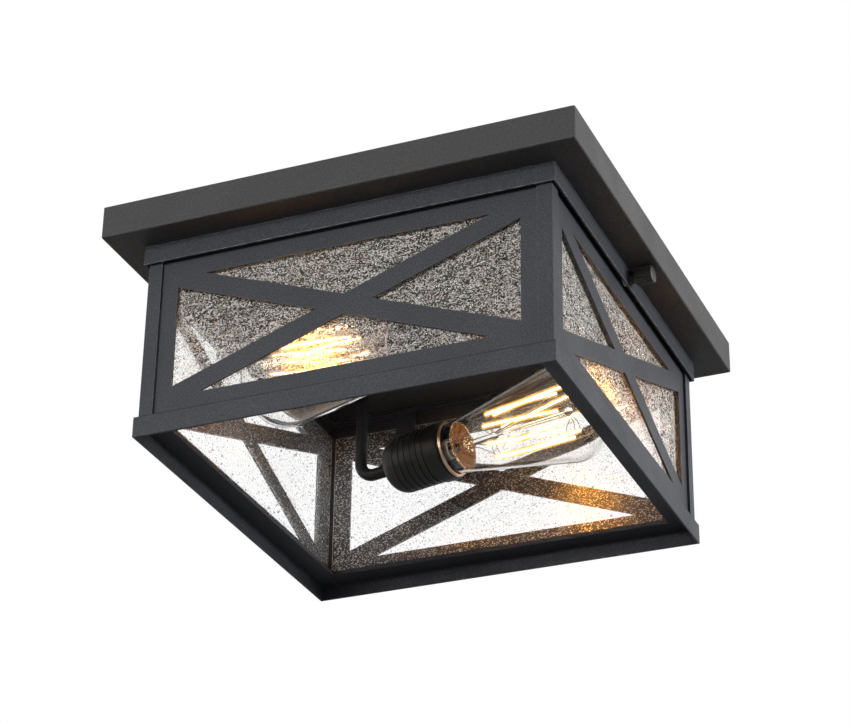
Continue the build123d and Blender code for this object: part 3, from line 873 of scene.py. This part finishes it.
def hooked_wires(which):
    """Support wires at both ends of the strands, two lead wires and a fan of fine wires.

    A support wire runs out from the stem's bead in a shallow bow, and ends in a small open hook
    round its strand. The lead wires run from the press almost to the low ring, on the side away
    from the ceiling, and the fan from the low ring's place almost to the high ring, on the
    ceiling's side. The reach of both grows with a power of the share of the way.
    """
    wire_radius, hook_radius, hook_gap, bow = 0.28 * mm, 0.85 * mm, 0.8 * mm, 1.5 * mm
    bead_reach, lead_reach, fan_reach, fan_gap = 2.4 * mm, 2.6 * mm, 2.2 * mm, 1.8 * mm
    lead_start, lead_end, lead_power = 12.0 * mm, strands_start - 2.0 * mm, 1.6
    fan_from, fan_to, fan_power = 0.04, 0.94, 1.15
    paths = []
    way = np.linspace(0, 1, 10)
    turn = np.linspace(math.pi, 2.6 * math.pi, 14)
    ends = ((strands_start, low_ring, 0.0, -bow), (strands_end, high_ring, 0.5, bow))
    for place, ring, half_step, lean in ends:
        for number in range(strand_count):
            angle = 2 * math.pi / strand_count * (number + half_step)
            spoke_place = place + lean * np.sin(way * math.pi)
            spoke_reach = between(bead_reach, ring - hook_gap, way)
            spoke = lamp_points(which, spoke_place, spoke_reach, angle)
            hook_place = place + hook_radius * np.sin(turn)
            hook_reach = ring + hook_radius * np.cos(turn)
            hook = lamp_points(which, hook_place, hook_reach, angle)
            paths.append(np.vstack([spoke, hook]))
    way = np.linspace(0, 1, 14)
    place = between(lead_start, lead_end, way)
    reach = between(lead_reach, low_ring - hook_gap, way**lead_power)
    for turned in (-0.75, 0.75):
        paths.append(lamp_points(which, place, reach, turned - towards_ceiling))
    place = between(strands_start, strands_end, between(fan_from, fan_to, way))
    reach = between(fan_reach, high_ring - fan_gap, way**fan_power)
    for turned in np.linspace(-1.2, 1.2, 7):
        paths.append(lamp_points(which, place, reach, towards_ceiling - turned))
    points, faces = tubes(paths, wire_radius, 6)
    piece = new_piece(
        f"hooked_wires_{which}", points, faces, finishes["wire"], f"lamp_{which}"
    )
    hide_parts(f"support_wires_{which}")


def stem_flare(which):
    """Amber-brown glass dish in the lamp's neck, where the stem flares out to the glass.

    Its radius grows evenly with u from the stem to the rim, and its place along the lamp is
    back + (front - back) times u squared, so that it curls forwards at the rim.
    The other face is the same curve one wall further back. Each point's streak value is a sum
    of three waves in its angle about the lamp's axis.
    """
    hole, rim, back, front, wall = 2.4 * mm, 15.6 * mm, 3.0 * mm, 7.2 * mm, 0.5 * mm
    around = 96
    share = np.linspace(0, 1, 18)
    reach = between(hole, rim, share)
    place = between(back, front, share**2)
    outer = np.stack([place, reach], 1)[::-1]
    inner = np.stack([place - wall, reach], 1)
    profile = np.vstack([inner, outer, inner[:1]])
    points, faces = turned_shell(which, profile, around)
    angle = np.tile(full_circle(around), len(profile))
    streak = 0.5
    for height, waves, shift in ((0.22, 11, 0.0), (0.18, 23, 1.1), (0.16, 37, 2.3)):
        streak = streak + height * np.sin(waves * angle + shift)
    piece = new_piece(
        f"stem_flare_{which}",
        points,
        faces,
        flare_finish,
        f"lamp_{which}",
        weld=True,
    )
    # Streaks of the flare's painted reflection.
    values = piece.data.attributes.new("streaks", "FLOAT", "POINT").data
    values.foreach_set("value", np.clip(streak, 0, 1))


def rim_glint_rings(which):
    """Two thin golden rings round the dish, in the press's glowing finish: painted glints on the edges of the
    neck's glass.

    Each is a ring whose section is a small circle. At angle p about the section, all round the
    lamp, its place is the ring's plus section radius times sin p, and its reach is the ring's
    less section radius times cos p.
    """
    section_radius = 0.3 * mm
    turn = np.linspace(0, 2 * math.pi, 11)
    points, faces, offset = [], [], 0
    for ring, place in ((15.8 * mm, 7.5 * mm), (13.9 * mm, 5.6 * mm)):
        section_place = place + section_radius * np.sin(turn)
        section_reach = ring - section_radius * np.cos(turn)
        made, triangles = turned_shell(which, np.stack([section_place, section_reach], 1), 96)
        points.append(made)
        faces.append(triangles + offset)
        offset += len(made)
    new_piece(
        f"rim_glint_rings_{which}",
        np.vstack(points),
        np.vstack(faces),
        press_painted_glow,
        f"lamp_{which}",
        weld=True,
    )


def amber_bloom(which):
    """Faint amber bloom just inside the glass, from before the strands to near their far ends.

    A very thin cone-shaped skin: its reach is the inner reach of the bulb's own cone at that
    place, less one and a half millimetres.
    """
    neck_radius, glass_wall, gap, skin = 13.9 * mm, 0.9 * mm, 1.5 * mm, 0.1 * mm
    cone_start, cone_angle = -11.7 * mm, math.radians(11.5)
    place = np.linspace(22.0 * mm, 78.0 * mm, 20)
    reach = neck_radius - glass_wall - gap + (place - cone_start) * math.tan(cone_angle)
    outer = np.stack([place, reach], 1)
    inner = np.stack([place, reach - skin], 1)[::-1]
    points, faces = turned_shell(which, np.vstack([outer, inner, outer[:1]]), 72)
    piece = new_piece(
        f"amber_bloom_{which}",
        points,
        faces,
        bloom_finish,
        f"lamp_{which}",
        weld=True,
    )
    piece.visible_diffuse = False
    piece.visible_glossy = False


def lamp_press(which):
    """Lumpy press where the lead wires leave the glass.

    A ball drawn out along the lamp whose radius changes with its latitude t and longitude p as
    1 + cos t (0.2 sin(5p + 3t) + 0.14 sin(9p - 7t)).
    """
    middle, half_length, half_width = 11.4 * mm, 4.0 * mm, 4.3 * mm
    rows, around = 26, 40
    latitude = np.linspace(-math.pi / 2, math.pi / 2, rows)[:, None]
    longitude = full_circle(around)[None, :]
    wide_lumps = 0.2 * np.sin(5 * longitude + 3 * latitude)
    fine_lumps = 0.14 * np.sin(9 * longitude - 7 * latitude)
    lumps = 1 + np.cos(latitude) * (wide_lumps + fine_lumps)
    place = middle + half_length * np.sin(latitude) * lumps
    reach = half_width * np.cos(latitude) * lumps
    new_piece(
        f"lamp_press_{which}",
        lamp_points(which, place, reach, longitude).reshape(-1, 3),
        grid_faces(rows, around),
        press_painted_glow,
        f"lamp_{which}",
        weld=True,
    )


for seed, side in enumerate(sides, first_seed):
    seed_bubbles(side, seed)
for which in lamps:
    glowing_strands(which)
    hooked_wires(which)
    stem_flare(which)
    rim_glint_rings(which)
    amber_bloom(which)
    lamp_press(which)


# Studio


def look_from(place, heading, pitch, roll):
    """Matrix of a camera that looks along a heading from +Y, at a pitch above level and a roll."""
    level = Vector((math.sin(heading), math.cos(heading), 0)) * math.cos(pitch)
    forward = level + Vector((0, 0, math.sin(pitch)))
    right = forward.cross(Vector((0, 0, 1))).normalized()
    up = right.cross(forward)
    rolled_right = right * math.cos(roll) + up * math.sin(roll)
    rolled_up = up * math.cos(roll) - right * math.sin(roll)
    turn = Matrix((rolled_right, rolled_up, -forward)).transposed()
    return Matrix.Translation(place) @ turn.to_4x4()


def make_camera():
    """Camera at the photograph's place, with its lens."""
    data = bpy.data.cameras.new("camera")
    data.lens = camera_lens
    data.sensor_width = camera_sensor
    data.clip_start = 0.01
    data.clip_end = 50.0
    camera = place_object("camera", data)
    camera.matrix_world = look_from(camera_place, camera_heading, camera_pitch, camera_roll)
    bpy.context.scene.camera = camera


def soft_lamp(name, place, width, height, power):
    """Upright studio panel that faces the middle of the object."""
    data = bpy.data.lights.new(name, "AREA")
    data.shape = "RECTANGLE"
    data.size = width
    data.size_y = height
    data.spread = math.radians(70)
    data.energy = power
    lamp = place_object(name, data)
    middle = (cad_low + cad_high) / 2
    lamp.location = place
    lamp.rotation_euler = (middle - Vector(place)).to_track_quat("-Z", "Y").to_euler()


def bulb_lights(which, panes):
    """Two warm lights amid a lamp's strands: a very faint one that falls on every surface, and one
    that only the panes take, as a glint and a glow.
    """
    middle = (strands_start + strands_end) / 2
    for name, power, glint in (("warm light", 0.001, False), ("warm glint", 9.2, True)):
        data = bpy.data.lights.new(f"{name} {which}", "POINT")
        data.energy = power
        data.color = (1.0, 0.38, 0.03)
        data.shadow_soft_size = 12.0 * mm
        lamp = place_object(f"{name} {which}", data)
        lamp.location = lamp_points(which, middle, 0.0, 0.0)
        lamp.visible_camera = False
        lamp.visible_diffuse = not glint
        lamp.visible_glossy = glint
        lamp.visible_transmission = glint
        if glint:
            lamp.light_linking.receiver_collection = panes


def seen_white(tree):
    """1 for a ray from the camera or through glass, else 0."""
    path = add(tree, "ShaderNodeLightPath").outputs
    return larger(tree, path["Is Camera Ray"], path["Is Transmission Ray"])


def studio_world():
    """White to the camera and through glass; for other rays paler above than below."""
    world = bpy.data.worlds.new("studio")
    bpy.context.scene.world = world
    world.use_nodes = True
    tree = world.node_tree
    tree.nodes.clear()
    seen = seen_white(tree)
    direction = add(tree, "ShaderNodeTexCoord").outputs["Generated"]
    height = add(tree, "ShaderNodeSeparateXYZ", {"Vector": direction}).outputs["Z"]
    glossy = add(tree, "ShaderNodeLightPath").outputs["Is Glossy Ray"]
    glossy_level = times(tree, glossy, ramp(tree, height, -0.75, 0.15, 0.12, 1.0))
    other_level = times(
        tree, rest_of_one(tree, glossy), ramp(tree, height, -0.5, 0.4, 0.05, 0.28)
    )
    level = maths(tree, "ADD", glossy_level, other_level)
    strength = maths(tree, "ADD", seen, times(tree, rest_of_one(tree, seen), level))
    inputs = {"Color": (1, 1, 1), "Strength": strength}
    background = add(tree, "ShaderNodeBackground", inputs).outputs[0]
    add(tree, "ShaderNodeOutputWorld", {"Surface": background})


def pale_floor():
    """Plain pale floor well below the light, white to the camera."""
    half, level = 6.0, -2.3
    corners = [(-half, -half), (half, -half), (half, half), (-half, half)]
    mesh = bpy.data.meshes.new("floor")
    mesh.from_pydata([(x, y, level) for x, y in corners], [], [(0, 1, 2, 3)])
    floor = place_object("floor", mesh)
    material, tree, shader = new_material("pale floor")
    clouds = noise(tree, object_coordinates(tree), 3.0, 3.0)
    join(
        tree,
        shader,
        Base_Color=blend_colours(tree, clouds, (0.8, 0.8, 0.8), (0.84, 0.84, 0.84)),
        Roughness=0.9,
        Emission_Color=(1, 1, 1),
        Emission_Strength=seen_white(tree),
    )
    mesh.materials.append(material)


make_camera()
studio_world()
pale_floor()
soft_lamp("right lamp", (2.35, 0.25, 0.05), width=1.3, height=0.7, power=11.8)
soft_lamp("front lamp", (-0.6, -2.35, 0.06), width=1.3, height=0.6, power=7.2)
panes = bpy.data.collections.new("panes")
for side in sides:
    panes.objects.link(frame["nodes"][f"glass_pane_{side}"])
for which in lamps:
    bulb_lights(which, panes)

bpy.context.scene.view_settings.view_transform = "Standard"
